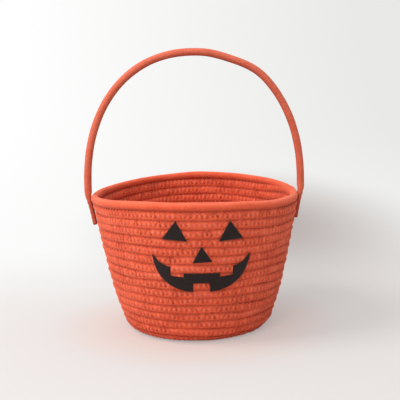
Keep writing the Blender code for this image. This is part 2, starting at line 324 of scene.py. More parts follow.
def pressed_in(run, height, furrow_depth):
    """How deep the seam above a row presses, at a run and a height above that row's middle."""
    stitch = np.clip((run / stitch_pitch).astype(int), 1, stitch_count - 2)
    depth = np.zeros(np.broadcast(run, height).shape)
    for near in (-1, 0, 1):
        number = np.clip(stitch + near, 0, stitch_count - 2)
        low, high = (low_run[number], low_height[number]), (high_run[number], high_height[number])
        following = (low_run[number + 1], low_height[number + 1])
        pull = stitch_pull[number]
        for start, end in ((low, high), (following, high)):
            line = far_from_line(run, height, *start, *end)
            depth = np.maximum(depth, furrow_depth * pull * np.exp(-((line / furrow_width) ** 2)))
        above = height - low[1]
        beside = run - low[0] - stitch_slant[number] * above
        dimple = np.exp(-((beside / dimple_width) ** 2) - np.abs(above / dimple_height) ** dimple_sharpness)
        depth = np.maximum(depth, dimple_depth * pull * dimple)
        away = np.hypot(run - high[0], height - high[1])
        depth = np.maximum(depth, catch_depth * pull * np.exp(-((away / catch_width) ** 2)))
    bead = bead_height * np.sin(math.pi * run / stitch_pitch) ** 2 * bead_swell[stitch]
    bead = bead * np.exp(-(((height - bead_rise) / bead_reach) ** 2))
    return (depth - bead) * (run < seam_end) * (run > 0)


# Sewn rows
# Sewing flattens the rope, presses it in at every stitch and lets its rows wander a little up and
# down. Its colour has painted shade in the stitch dimples, along the grooves, on the lower side of
# each row and on the inside face, and painted highlight on the bulges between stitches. The rim's
# top has a painted highlight and its lower side painted shade.
rope_end_start = 0.02
press_reach = 0.6
# Painted shade in the stitch dimples, along the grooves and on the lower side of each row.
dimple_painted_shade = 0.95
groove_painted_shade = 0.40
groove_sharpness = 1.5
underside_painted_shade = 0.45
underside_start = 0.05
underside_reach = 0.65
# Painted highlight on top of the rim and on the bulges between stitches, painted shade on the rim's lower
# side and on the inside face.
rim_highlight_most = 0.36
rim_highlight_start = -0.10
rim_highlight_reach = 0.90
rim_painted_shade = 0.21
rim_blend_turns = 0.05
inside_painted_shade = 0.18
bead_painted_highlight = 0.28
sway_spacing = 0.031
sway_size = 0.00016
swell_spacing = 0.019
swell_size = 0.026
lump_spacing = 0.0055
lump_size = 0.018
waver_spacing = 0.033
waver_size = 0.00036
wander_waves = ((3.07, 0.00040, 0.4), (6.12, 0.00030, 1.9), (10.20, 0.00020, 3.1))
wander_fade = 3.0


def soft_noise(dice, run, spacing, size):
    """Smooth uneven offset along the rope."""
    knots = dice.normal(0, size, int(rope_length / spacing) + 4)
    place = run / spacing
    first = place.astype(int)
    share = place - first
    ease = share * share * (3 - 2 * share)
    return knots[first] * (1 - ease) + knots[first + 1] * ease


def tube_mesh(name, rings, along, around, values=None):
    """A closed tube through rings of corners, with its lay as a UV map and values for its shader."""
    count, sides = rings.shape[:2]
    corner = np.arange(count * sides).reshape(count, sides)
    beside = np.roll(corner, -1, axis=1)
    quads = np.stack([corner[:-1], beside[:-1], beside[1:], corner[1:]], axis=-1).reshape(-1, 4)
    loops_flat = np.concatenate([quads.ravel(), corner[0, ::-1], corner[-1]])
    starts = np.concatenate([np.arange(len(quads)) * 4, [quads.size, quads.size + sides]])
    totals = np.concatenate([np.full(len(quads), 4), [sides, sides]])
    mesh = bpy.data.meshes.new(name)
    mesh.vertices.add(count * sides)
    mesh.vertices.foreach_set("co", rings.astype(np.float32).ravel())
    mesh.loops.add(len(loops_flat))
    mesh.loops.foreach_set("vertex_index", loops_flat.astype(np.int32))
    mesh.polygons.add(len(starts))
    mesh.polygons.foreach_set("loop_start", starts.astype(np.int32))
    mesh.polygons.foreach_set("loop_total", totals.astype(np.int32))
    smooth = np.ones(len(starts), bool)
    smooth[-2:] = False
    mesh.polygons.foreach_set("use_smooth", smooth)
    mesh.update(calc_edges=True)
    grid_v = np.stack([around[:-1], around[1:], around[1:], around[:-1]], axis=-1)
    corners_u = np.stack([along[:-1], along[:-1], along[1:], along[1:]], axis=-1)
    u = np.repeat(corners_u[:, None, :], sides, axis=1).ravel()
    v = np.repeat(grid_v[None, :, :], count - 1, axis=0).ravel()
    u = np.concatenate([u, np.full(sides, along[0]), np.full(sides, along[-1])])
    v = np.concatenate([v, around[:-1][::-1], around[:-1]])
    uv_map = mesh.uv_layers.new(name="lay")
    uv_map.data.foreach_set("uv", np.stack([u, v], axis=-1).astype(np.float32).ravel())
    if values is not None:
        attribute = mesh.attributes.new("painted_shading", "FLOAT", "POINT")
        attribute.data.foreach_set("value", values.astype(np.float32).ravel())
    mesh.validate()
    piece = bpy.data.objects.new(name, mesh)
    bpy.context.scene.collection.objects.link(piece)
    return piece


def linear(code):
    """An sRGB hex colour as the linear one that a shader takes."""
    parts = [int(code[place:place + 2], 16) / 255 for place in (1, 3, 5)]
    parts = [part / 12.92 if part < 0.04045 else ((part + 0.055) / 1.055) ** 2.4 for part in parts]
    return (*parts, 1.0)


def add_node(tree, kind, values=None, links=None, **settings):
    """Add a shader node with its settings, the values of its sockets and the links into them."""
    node = tree.nodes.new(kind)
    for name, setting in settings.items():
        setattr(node, name, setting)
    for socket, value in (values or {}).items():
        node.inputs[socket].default_value = value
    for socket, source in (links or {}).items():
        tree.links.new(source, node.inputs[socket])
    return node


def cotton(name, light, dark, painted_shade_colour, painted_highlight_colour, wale, course, bump_depth):
    """Dyed cotton rope, finely knitted over a soft core.

    It is matt with a faint fuzz. Each wale is a column of small slanted loops and the dye takes
    unevenly. The piece's shading values darken it with painted shade and make it paler with painted
    highlight.
    Wales and courses are in metres, and are drawn a little coarser than real ones so that they
    show. Real fibres are 0.02 mm thick, far too fine to show, so they are drawn 0.5 mm apart. The
    scales of the fibres, the heather and the patches of dye count them along a metre.
    """
    loop_slant = 0.55
    fibre_scale = 1900.0
    heather_scale = 420.0
    dye_scale = 42.0
    heather_share = 0.45
    material = bpy.data.materials.new(name)
    material.use_nodes = True
    tree = material.node_tree
    shader = tree.nodes["Principled BSDF"]
    shader.inputs["Roughness"].default_value = 0.88
    shader.inputs["Specular IOR Level"].default_value = 0.25
    shader.inputs["Sheen Weight"].default_value = 0.22
    shader.inputs["Sheen Roughness"].default_value = 0.50
    shader.inputs["Sheen Tint"].default_value = linear("#FFC6AC")
    place = add_node(tree, "ShaderNodeTexCoord").outputs["Object"]
    lay = add_node(tree, "ShaderNodeUVMap", uv_map="lay").outputs["UV"]
    split = add_node(tree, "ShaderNodeSeparateXYZ", links={"Vector": lay})
    wales = add_node(tree, "ShaderNodeMath", {1: 1 / wale}, {0: split.outputs["Y"]}, operation="MULTIPLY")
    in_wale = add_node(tree, "ShaderNodeMath", {1: 1.0}, {0: wales.outputs[0]}, operation="PINGPONG")
    slant = add_node(tree, "ShaderNodeMath", {1: loop_slant}, {0: in_wale.outputs[0]}, operation="MULTIPLY")
    courses = add_node(
        tree,
        "ShaderNodeMath",
        {1: 1 / course},
        {0: split.outputs["X"]},
        operation="MULTIPLY",
    )
    course_place = add_node(
        tree,
        "ShaderNodeMath",
        links={0: courses.outputs[0], 1: slant.outputs[0]},
        operation="ADD",
    )
    loop_turn = add_node(
        tree,
        "ShaderNodeMath",
        {1: 2 * math.pi},
        {0: course_place.outputs[0]},
        operation="MULTIPLY",
    )
    loop = add_node(tree, "ShaderNodeMath", links={0: loop_turn.outputs[0]}, operation="SINE")
    wale_turn = add_node(
        tree,
        "ShaderNodeMath",
        {1: math.pi},
        {0: in_wale.outputs[0]},
        operation="MULTIPLY",
    )
    wale_arch = add_node(tree, "ShaderNodeMath", links={0: wale_turn.outputs[0]}, operation="SINE")
    knit = add_node(
        tree,
        "ShaderNodeMath",
        links={0: loop.outputs[0], 1: wale_arch.outputs[0]},
        operation="MULTIPLY",
    )
    fibre = add_node(tree, "ShaderNodeTexNoise", {"Scale": fibre_scale, "Detail": 3.0}, {"Vector": place})
    dye = add_node(tree, "ShaderNodeTexNoise", {"Scale": dye_scale, "Detail": 3.0}, {"Vector": place})
    heather = add_node(
        tree,
        "ShaderNodeTexNoise",
        {"Scale": heather_scale, "Detail": 2.0},
        {"Vector": place},
    )
    tone = add_node(
        tree,
        "ShaderNodeMix",
        {0: heather_share},
        {2: dye.outputs["Fac"], 3: heather.outputs["Fac"]},
        data_type="FLOAT",
    )
    tone_range = add_node(
        tree,
        "ShaderNodeMapRange",
        {"From Min": 0.36, "From Max": 0.64},
        {"Value": tone.outputs[0]},
    )
    body = add_node(
        tree,
        "ShaderNodeMix",
        {6: linear(dark), 7: linear(light)},
        {0: tone_range.outputs["Result"]},
        data_type="RGBA",
    )
    # Painted shade where the shading values are above zero, painted highlight where they are below.
    painted_shading = add_node(tree, "ShaderNodeAttribute", attribute_name="painted_shading")
    with_painted_shade = add_node(
        tree,
        "ShaderNodeMix",
        {7: linear(painted_shade_colour)},
        {0: painted_shading.outputs["Fac"], 6: body.outputs[2]},
        data_type="RGBA",
    )
    painted_highlight_share = add_node(tree, "ShaderNodeMath", {1: -1.0}, {0: painted_shading.outputs["Fac"]}, operation="MULTIPLY")
    with_painted_highlight = add_node(
        tree,
        "ShaderNodeMix",
        {7: linear(painted_highlight_colour)},
        {0: painted_highlight_share.outputs[0], 6: with_painted_shade.outputs[2]},
        data_type="RGBA",
    )
    tree.links.new(with_painted_highlight.outputs[2], shader.inputs["Base Color"])
    knit_bump = add_node(
        tree,
        "ShaderNodeBump",
        {"Strength": 0.7, "Distance": bump_depth},
        {"Height": knit.outputs[0]},
    )
    fibre_bump = add_node(
        tree,
        "ShaderNodeBump",
        {"Strength": 0.6, "Distance": 0.00012},
        {"Height": fibre.outputs["Fac"], "Normal": knit_bump.outputs["Normal"]},
    )
    tree.links.new(fibre_bump.outputs["Normal"], shader.inputs["Normal"])
    return material


basket_cotton = cotton(
    "dyed_cotton_rope",
    light="#F26A48",
    dark="#DC5434",
    painted_shade_colour="#A52F14",
    painted_highlight_colour="#E08E78",
    wale=0.0011,
    course=0.0009,
    bump_depth=0.00010,
)
# A row's section has corners up its outer face and down its inner one, closer at the edges.
half_face = np.array([0.16, 0.32, 0.48, 0.63, 0.77, 0.89, 0.965])
face = np.concatenate([-half_face[::-1], [0.0], half_face])
up_share = np.concatenate([[-1.0], face, [1.0], face[::-1]])
faces_out = np.concatenate([[0.0], np.ones(len(face)), [0.0], -np.ones(len(face))])
ring_run = np.linspace(0.0, rope_length, round(rope_length / ring_step) + 1)
ring_turn = turn_at(ring_run)
middle, outward, upward, size = rope_at(ring_turn)
rope_dice = np.random.default_rng(7)
sway = soft_noise(rope_dice, ring_run, sway_spacing, sway_size)
swell = 1 + soft_noise(rope_dice, ring_run, swell_spacing, swell_size)
swell = swell + soft_noise(rope_dice, ring_run, lump_spacing, lump_size)
waver = soft_noise(rope_dice, ring_run, waver_spacing, waver_size)
below_rim = np.clip((loops - 1 - ring_turn) / wander_fade, 0, 1)
for cycles, reach, phase in wander_waves:
    waver = waver + reach * below_rim * np.sin(2 * math.pi * cycles * ring_turn + phase)
on_rim = np.clip((ring_turn - (loops - 1 - rim_blend_turns)) / rim_blend_turns, 0, 1)[:, None]
squareness = row_squareness + (rim_squareness - row_squareness) * on_rim
out_share = faces_out * face_share(up_share[None, :], squareness, row_crown * (1 - on_rim))
on_rim = on_rim * (up_share > 0)
row_place = (row_half_height + (rim_top_height - row_half_height) * on_rim) * up_share[None, :]
run_below = np.where(ring_turn >= 1, run_at(ring_turn - 1), -1.0)[:, None]
press = np.zeros(row_place.shape)
for face_side, furrow_depth in ((1, furrow_depth_outside), (-1, furrow_depth_inside)):
    on_face = faces_out == face_side
    press[:, on_face] = pressed_in(ring_run[:, None], row_place[:, on_face], furrow_depth)
    press[:, on_face] += pressed_in(run_below, row_place[:, on_face] + row_pitch, furrow_depth)
to_end = np.minimum(ring_run, rope_length - ring_run)
rounded_end = np.sqrt(1 - (1 - np.clip(to_end / rope_radius, rope_end_start, 1)) ** 2)
scale = (size * rounded_end)[:, None]
out_place = row_half_depth * out_share * swell[:, None]
out_place -= np.sign(out_place) * press * np.clip(np.abs(out_share) / press_reach, 0, 1)
out_place = out_place * scale + sway[:, None]
row_place = row_place * scale + waver[:, None]
rope_rings = middle[:, None, :] + out_place[..., None] * outward[:, None, :]
rope_rings = rope_rings + row_place[..., None] * upward[:, None, :]
rope_rings[..., 2] = np.maximum(rope_rings[..., 2], 0.0)
rope_rings = settled(rope_rings)
# The rope's shading values: painted shade along the grooves, on the lower side of each row and in the
# stitch dimples.
in_groove = np.clip((np.abs(up_share) - groove_start) / (groove_full - groove_start), 0, 1)
in_groove = in_groove ** groove_sharpness
painted_underside = np.clip((-up_share - underside_start) / underside_reach, 0, 1)[None, :] * underside_painted_shade
rope_painted_shading = np.maximum(groove_painted_shade * in_groove * (1 - on_rim), painted_underside)
rope_painted_shading = np.maximum(dimple_painted_shade * np.clip(press / dimple_depth, 0, 1), rope_painted_shading)
# Painted highlight on the bulges between stitches and on top of the rim, painted shade on the rim's lower
# side and on the inside face.
rope_painted_shading = rope_painted_shading - bead_painted_highlight * np.clip(-press / bead_height, 0, 1)
rim_highlight_share = rim_highlight_most * np.clip((up_share - rim_highlight_start) / rim_highlight_reach, 0, 1)[None, :]
rope_painted_shading = rope_painted_shading - (rim_highlight_share - rim_painted_shade) * (ring_turn > loops - 1)[:, None]
rope_painted_shading = rope_painted_shading + inside_painted_shade * (faces_out < 0)[None, :]
section = np.stack([out_share[0] * row_half_depth, up_share * row_half_height], axis=-1)
around = run_along(np.vstack([section, section[0]]))
# Turns at which the rope is parted into pieces of under 200,000 triangles.
rope_piece_ends = {
    "basket_rope_base": 7.3,
    "basket_rope_corner": 10.9,
    "basket_rope_low": 14.2,
    "basket_rope_middle": 17.2,
    "basket_rope_high": 20.0,
    "basket_rope_upper": 22.6,
    "basket_rope_rim": loops,
}
start = coil_start_turn
for name, end in rope_piece_ends.items():
    first = int(np.searchsorted(ring_turn, start))
    last = min(int(np.searchsorted(ring_turn, end)) + 1, len(ring_turn))
    part = slice(first, last)
    piece = tube_mesh(name, rope_rings[part], ring_run[part], around, rope_painted_shading[part])
    piece.data.materials.append(basket_cotton)
    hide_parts("basket_coil")
    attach(piece, "basket")
    start = end

# Rope's start
# Before it is coiled, the rope's first few millimetres are folded under, and the fold fills the
# middle of the base.
fold_radius = 0.0056
fold_flatness = 0.55
bpy.ops.object.select_all(action="DESELECT")
bpy.ops.mesh.primitive_uv_sphere_add(
    segments=32,
    ring_count=16,
    radius=fold_radius,
    location=(0, 0, base_height),
    scale=(1, 1, fold_flatness),
)
fold = bpy.context.object
fold.name = "basket_rope_fold"
fold.data.name = "basket_rope_fold"
fold.data.uv_layers[0].name = "lay"
bpy.ops.object.transform_apply(location=True, rotation=True, scale=True)
bpy.ops.object.shade_smooth()
fold.data.materials.append(basket_cotton)
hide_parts("basket_coil")
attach(fold, "basket")

# Seam thread
# The stitch itself is spun polyester dyed to match, 0.5 mm thick. It zigzags over every groove on
# the outside and on the inside, pulled tight into the furrows that it presses.
thread_radius = 0.00025
thread_bedding = 0.45
least_shoulder = 0.80
thread_sides = 4
thread_shares = np.array([0.0, 0.18, 0.42, 0.66, 0.86])


def spun_polyester(name, code, twist):
    """Thread of two plies twisted together, which give it slanted ridges and a faint gloss."""
    wave_repeat = 0.314  # length of a wave texture's wave at a scale of 1
    ply_slant = math.radians(35)
    material = bpy.data.materials.new(name)
    material.use_nodes = True
    tree = material.node_tree
    shader = tree.nodes["Principled BSDF"]
    shader.inputs["Base Color"].default_value = linear(code)
    shader.inputs["Roughness"].default_value = 0.62
    shader.inputs["Specular IOR Level"].default_value = 0.35
    shader.inputs["Sheen Weight"].default_value = 0.20
    lay = add_node(tree, "ShaderNodeUVMap", uv_map="lay").outputs["UV"]
    turned = add_node(tree, "ShaderNodeMapping", {"Rotation": (0.0, 0.0, ply_slant)}, {"Vector": lay})
    ply = add_node(
        tree,
        "ShaderNodeTexWave",
        {"Scale": wave_repeat / twist, "Distortion": 0.6, "Detail": 1.0},
        {"Vector": turned.outputs["Vector"]},
    )
    bump = add_node(
        tree,
        "ShaderNodeBump",
        {"Strength": 0.8, "Distance": twist / 4},
        {"Height": ply.outputs["Fac"]},
    )
    tree.links.new(bump.outputs["Normal"], shader.inputs["Normal"])
    return material


def thread_piece(name, path, lifted, radius, sides):
    """A thread along a path, given the way that is out of the surface under it."""
    way = np.gradient(path, axis=0)
    way /= np.linalg.norm(way, axis=1, keepdims=True)
    beside = np.cross(way, lifted)
    beside /= np.linalg.norm(beside, axis=1, keepdims=True)
    over = np.cross(beside, way)
    turn = np.linspace(0, 2 * math.pi, sides, endpoint=False)[:, None]
    section = np.cos(turn) * over[:, None, :] + np.sin(turn) * beside[:, None, :]
    rings = path[:, None, :] + radius * section
    return tube_mesh(name, rings, run_along(path), np.linspace(0, 2 * math.pi * radius, sides + 1))


# The thread's colour is its own dye, drawn a little light as a painted highlight for its sheen.
sewing_thread = spun_polyester("spun_polyester_thread", code="#E5694A", twist=0.0007)
last_stitch = int(seam_end / stitch_pitch) - 2
first_stitch = 2
numbers = np.arange(first_stitch, last_stitch)
shares = thread_shares[None, :]
thread_places = []
for low, high in ((low_run, high_run), (low_height, high_height)):
    rise = low[numbers, None] + (high[numbers] - low[numbers])[:, None] * shares
    fall = high[numbers, None] + (low[numbers + 1] - high[numbers])[:, None] * shares
    thread_places.append(np.concatenate([rise, fall], axis=1).ravel())
thread_run, thread_height = thread_places
thread_turn = turn_at(thread_run)
here = rope_at(thread_turn)
there = rope_at(np.minimum(thread_turn + 1, loops))
from_row = np.where(thread_height > row_pitch / 2, row_pitch - thread_height, thread_height)
shoulder = row_half_depth * face_share(from_row / row_half_height, row_squareness, row_crown)
share = np.clip(thread_height / row_pitch, 0, 1)[:, None]
thread_along = np.interp(thread_run, ring_run, sway)
waver_here = np.interp(thread_run, ring_run, waver)[:, None]
waver_there = np.interp(run_at(thread_turn + 1), ring_run, waver)[:, None]
up_here = thread_height[:, None] + waver_here
up_there = thread_height[:, None] - row_pitch + waver_there
seams = (("seam_thread_outside", 1, furrow_depth_outside), ("seam_thread_inside", -1, furrow_depth_inside))
for name, side, furrow_depth in seams:
    thread_out = shoulder - pressed_in(thread_run, thread_height, furrow_depth)
    thread_out = np.maximum(thread_out, least_shoulder * row_half_depth) + thread_bedding * thread_radius
    offset = (side * thread_out + thread_along)[:, None]
    below = here[0] + offset * here[1] + up_here * here[2]
    above = there[0] + offset * there[3][:, None] * there[1] + up_there * there[2]
    path = below * (1 - share) + above * share
    path[:, 2] = np.maximum(path[:, 2], thread_radius)
    path = settled(path)
    lifted = side * (here[1] * (1 - share) + there[1] * share)
    thread = thread_piece(name, path, lifted, thread_radius, thread_sides)
    thread.data.materials.append(sewing_thread)
    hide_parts("basket_coil")
    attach(thread, "basket")

# Handle's rope
# One 7.6 mm knitted cotton rope stands over the basket in an arch. Its two ends are pressed flat
# against the outside of the wall and sewn there, and it bends where it leaves them.
handle_radius = 0.0038
handle_rise = 0.1331
handle_squareness = 2.2
handle_lean = 0.0008
shoulder_dip = 0.0015
shoulder_dip_x = 0.0370
shoulder_dip_width = 0.0180
shoulder_rise = 0.0013
shoulder_rise_x = 0.0700
shoulder_rise_width = 0.0140
pivot_x = 0.1083
pivot_height = 0.1451
foot_top = 0.1406
foot_length = 0.0330
foot_width = 0.0102
foot_thickness = 0.0046
foot_squareness = 2.9
# Painted shade on the flat feet and on the rope's lower side, painted highlight on its top.
foot_painted_shade = 0.38
handle_underside_painted_shade = 0.60
handle_top_painted_highlight = 0.08
touch_gap = 0.0003
cut_end_length = 0.0010
cut_end_size = 0.78
cut_end_shade = 0.80
cut_end_shaded = 0.0014
handle_swell_spacing = 0.012
handle_swell_size = 0.012
handle_sides = 28
handle_step = 0.0006
wall_places = 800
foot_points = 80
foot_sharpness = 5
arch_points = 721
blur_points = 13
blur_reach = 2.2
foot_stitch_drop = 0.0050
foot_stitch_length = 0.0230
foot_stitch_width = 0.0056
foot_crossings = 9
foot_press_depth = 0.0009
foot_press_width = 0.0008
foot_press_full = 0.0010


def wall_outside(height):
    """Radius of the wall's outside at a height."""
    lengths = np.linspace(flat_base_radius, profile_length[-1], wall_places)
    radius, level, along = profile_at(lengths)
    lift = rope_radius + touch_gap
    return np.interp(height, level - lift * along[:, 0], radius + lift * along[:, 1])


foot_heights = np.linspace(foot_top - foot_length, pivot_height, foot_points)
foot_share = np.clip((foot_heights - foot_top) / foot_length + 1, 0, 1) ** foot_sharpness
foot_half_thickness = foot_thickness / 2 + (handle_radius - foot_thickness / 2) * foot_share
foot_half_width = foot_width / 2 + (handle_radius - foot_width / 2) * foot_share
against_wall = wall_outside(foot_heights) + foot_half_thickness
foot_out = against_wall + (pivot_x - against_wall) * foot_share
arch_angle = np.linspace(math.pi, 0, arch_points)[1:-1]
arch_x = pivot_x * np.sign(np.cos(arch_angle)) * np.abs(np.cos(arch_angle)) ** (2 / handle_squareness)
arch_z = pivot_height + handle_rise * np.sin(arch_angle) ** (2 / handle_squareness)
line_x = np.concatenate([-foot_out, arch_x, foot_out[::-1]])
line_z = np.concatenate([foot_heights, arch_z, foot_heights[::-1]])
free_rope = np.full(len(arch_x), handle_radius)
half_thickness = np.concatenate([foot_half_thickness, free_rope, foot_half_thickness[::-1]])
half_width = np.concatenate([foot_half_width, free_rope, foot_half_width[::-1]])
line_run = run_along(np.stack([line_x, line_z], axis=-1))
handle_run = np.linspace(0.0, line_run[-1], round(line_run[-1] / handle_step) + 1)
path_x, path_z, thickness, width = (
    np.interp(handle_run, line_run, values) for values in (line_x, line_z, half_thickness, half_width)
)
blur = np.exp(-np.linspace(-blur_reach, blur_reach, blur_points) ** 2)
blur /= blur.sum()
for values in (path_x, path_z):
    values[blur_points // 2:-(blur_points // 2)] = np.convolve(values, blur, "valid")
path_x = path_x + handle_lean * np.clip((path_z - pivot_height) / handle_rise, 0, 1)
path_z = path_z - shoulder_dip * np.exp(-(((path_x - shoulder_dip_x) / shoulder_dip_width) ** 2))
path_z = path_z + shoulder_rise * np.exp(-(((path_x - shoulder_rise_x) / shoulder_rise_width) ** 2))
handle_middle = np.stack([path_x, np.zeros_like(path_x), path_z], axis=-1)
handle_way = np.gradient(handle_middle, axis=0)
handle_way /= np.linalg.norm(handle_way, axis=1, keepdims=True)
handle_side = np.array([0.0, -1.0, 0.0])
handle_out = np.cross(handle_side, handle_way)
handle_angle = np.linspace(0, 2 * math.pi, handle_sides, endpoint=False)
handle_end = np.minimum(handle_run, handle_run[-1] - handle_run)
end_size = np.clip(cut_end_size + (1 - cut_end_size) * handle_end / cut_end_length, cut_end_size, 1)
crossing = np.arange(foot_crossings + 1)
hole_height = foot_top - foot_stitch_drop - foot_stitch_length * crossing / foot_crossings
hole_across = foot_stitch_width * np.where(crossing % 2 == 0, -0.5, 0.5)
flatness = np.clip((handle_radius - thickness) / (handle_radius - foot_thickness / 2), 0, 1)
handle_square = 2 / (2 + (foot_squareness - 2) * flatness[:, None])
cosine, sine = np.cos(handle_angle)[None, :], np.sin(handle_angle)[None, :]
out_part = np.sign(cosine) * np.abs(cosine) ** handle_square
handle_across = width[:, None] * np.sign(sine) * np.abs(sine) ** handle_square
handle_press = np.zeros(handle_across.shape)
for number in range(foot_crossings):
    start = (hole_height[number], hole_across[number])
    end = (hole_height[number + 1], hole_across[number + 1])
    for side in (-1, 1):
        line = far_from_line(path_z[:, None], -side * handle_across, *start, *end)
        outside = (np.sign(path_x) == side)[:, None] * (np.cos(handle_angle) > 0)[None, :]
        furrow = foot_press_depth * np.exp(-((line / foot_press_width) ** 2))
        handle_press = np.maximum(handle_press, outside * furrow)
handle_dice = np.random.default_rng(19)
handle_swell = 1 + soft_noise(handle_dice, handle_run, handle_swell_spacing, handle_swell_size)
out_place = (thickness * end_size * handle_swell)[:, None] * out_part - handle_press
side_place = handle_across * (end_size * handle_swell)[:, None]
handle_rings = handle_middle[:, None, :] + out_place[..., None] * handle_out[:, None, :]
handle_rings = handle_rings + side_place[..., None] * handle_side
handle_around = np.linspace(0, 2 * math.pi * handle_radius, handle_sides + 1)
# The handle's shading values: painted shade in the stitches' furrows on the feet, on the flat feet and on
# the lower side, painted highlight on top, and darker cut ends.
end_shade = cut_end_shade * (handle_end < cut_end_shaded)
handle_painted_shade_and_cut_ends = np.maximum(handle_press / foot_press_full, end_shade[:, None])
handle_painted_shade_and_cut_ends = np.maximum(handle_painted_shade_and_cut_ends, foot_painted_shade * flatness[:, None])
facing_up = cosine * handle_out[:, 2:3]
handle_painted_shade_and_cut_ends = handle_painted_shade_and_cut_ends + handle_underside_painted_shade * np.clip(-facing_up, 0, 1)
handle_painted_shade_and_cut_ends = handle_painted_shade_and_cut_ends - handle_top_painted_highlight * np.clip(facing_up, 0, 1)
handle = tube_mesh("handle_rope", handle_rings, handle_run, handle_around, handle_painted_shade_and_cut_ends)
handle_cotton = cotton(
    "knitted_cotton_rope",
    light="#D66B52",
    dark="#CA5C42",
    painted_shade_colour="#903020",
    painted_highlight_colour="#E89078",
    wale=0.0013,
    course=0.0010,
    bump_depth=0.00010,
)
handle.data.materials.append(handle_cotton)
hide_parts("handle_arch", "handle_foot_left", "handle_foot_right")
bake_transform(handle)

# Stitching of the feet
# A zigzag of stronger orange polyester thread, 0.9 mm thick, goes down each foot and through the
# wall behind it, and presses its line into the foot.
foot_thread_radius = 0.00045
foot_thread_sides = 8
foot_thread_sunk = 0.0010
foot_thread_rise = 0.0006
places_per_stitch = 8
foot_stitch_share = np.linspace(0, foot_crossings, places_per_stitch * foot_crossings + 1)
foot_thread_height = np.interp(foot_stitch_share, crossing, hole_height)
foot_thread_across = np.interp(foot_stitch_share, crossing, hole_across)
in_stitch = np.abs(foot_stitch_share - np.round(foot_stitch_share)) * 2
foot_middle = np.interp(foot_thread_height, foot_heights, foot_out)
foot_half = np.interp(foot_thread_height, foot_heights, foot_half_thickness)
foot_over = 1 - (2 * np.abs(foot_thread_across) / foot_width) ** foot_squareness
foot_over = foot_half * foot_over ** (1 / foot_squareness)
foot_thread_out = foot_middle + foot_over - foot_thread_sunk
foot_thread_out = foot_thread_out + foot_thread_rise * np.sqrt(np.clip(in_stitch, 0, 1))
foot_thread = spun_polyester("strong_polyester_thread", code="#D2492A", twist=0.0012)
for name, side in (("left", -1), ("right", 1)):
    path = np.stack([side * foot_thread_out, -side * foot_thread_across, foot_thread_height], axis=-1)
    lifted = np.tile([float(side), 0.0, 0.0], (len(path), 1))
    thread = thread_piece("foot_thread_" + name, path, lifted, foot_thread_radius, foot_thread_sides)
    thread.data.materials.append(foot_thread)
    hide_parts("foot_stitching_" + name)
    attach(thread, "basket")

# Felt face
# Two eyes, a nose and a grin are cut from 1 mm black felt and glued on the front. The felt lies on
# the rows' crests and sinks slightly towards the grooves, and its cut edges are crisp.
felt_thickness = 0.0010
felt_sink = 0.00030
felt_rounding = 0.00022
felt_crease = math.radians(50)
felt_step = 0.0020
past_corners = 0.013  # so that no cut runs through a corner of an outline


def on_wall(across, along, lift):
    """Places on the front of the uneven wall, from distance across and length along the profile."""
    radius, height, way = profile_at(along)
    crest = rope_radius + touch_gap
    angle = -math.pi / 2 + across / (radius + crest * way[:, 1])
    along = along - height * (1 - 1 / drawn_at(angle)) / way[:, 1]
    radius, height, way = profile_at(along)
    row = (end_length - along) / row_pitch - angle / (2 * math.pi)
    groove = np.abs(row - np.round(row)) * 2
    raised = crest + lift - felt_sink * groove ** 4
    out = radius + raised * way[:, 1]
    up = height - raised * way[:, 0]
    return settled(np.stack([out * np.cos(angle), out * np.sin(angle), up], axis=-1))


def felt_patch(name, outline, material):
    """Felt cut to an outline, with softly rounded front edges, laid round the wall."""
    bpy.ops.object.select_all(action="DESELECT")
    bpy.ops.mesh.primitive_circle_add(vertices=len(outline), radius=0.01, fill_type="NGON")
    patch = bpy.context.object
    patch.name = name
    patch.data.name = name
    for vertex, (across, along) in zip(patch.data.vertices, outline):
        vertex.co = (across, along, 0.0)
    bpy.ops.object.mode_set(mode="EDIT")
    bpy.ops.mesh.select_all(action="SELECT")
    bpy.ops.mesh.extrude_region_move(TRANSFORM_OT_translate={"value": (0, 0, felt_thickness)})
    bpy.ops.mesh.bevel(offset=felt_rounding, segments=2, affect="EDGES")
    bpy.ops.mesh.select_all(action="SELECT")
    bpy.ops.mesh.normals_make_consistent(inside=False)
    low = np.min(outline, axis=0)
    high = np.max(outline, axis=0)
    for axis, normal in ((0, (1, 0, 0)), (1, (0, 1, 0))):
        count = math.ceil((high[axis] - low[axis]) / felt_step)
        for index in range(1, count):
            cut = [0.0, 0.0, 0.0]
            cut[axis] = low[axis] + (high[axis] - low[axis]) * (index + past_corners) / count
            bpy.ops.mesh.select_all(action="SELECT")
            bpy.ops.mesh.bisect(plane_co=cut, plane_no=normal)
    bpy.ops.mesh.select_all(action="SELECT")
    bpy.ops.mesh.quads_convert_to_tris()
    bpy.ops.object.mode_set(mode="OBJECT")
    flat = np.array([vertex.co for vertex in patch.data.vertices])
    wrapped = on_wall(flat[:, 0], flat[:, 1], flat[:, 2])
    patch.data.vertices.foreach_set("co", wrapped.astype(np.float32).ravel())
    patch.data.update()
    bpy.ops.object.shade_smooth_by_angle(angle=felt_crease)
    patch.data.materials.append(material)
    return patch


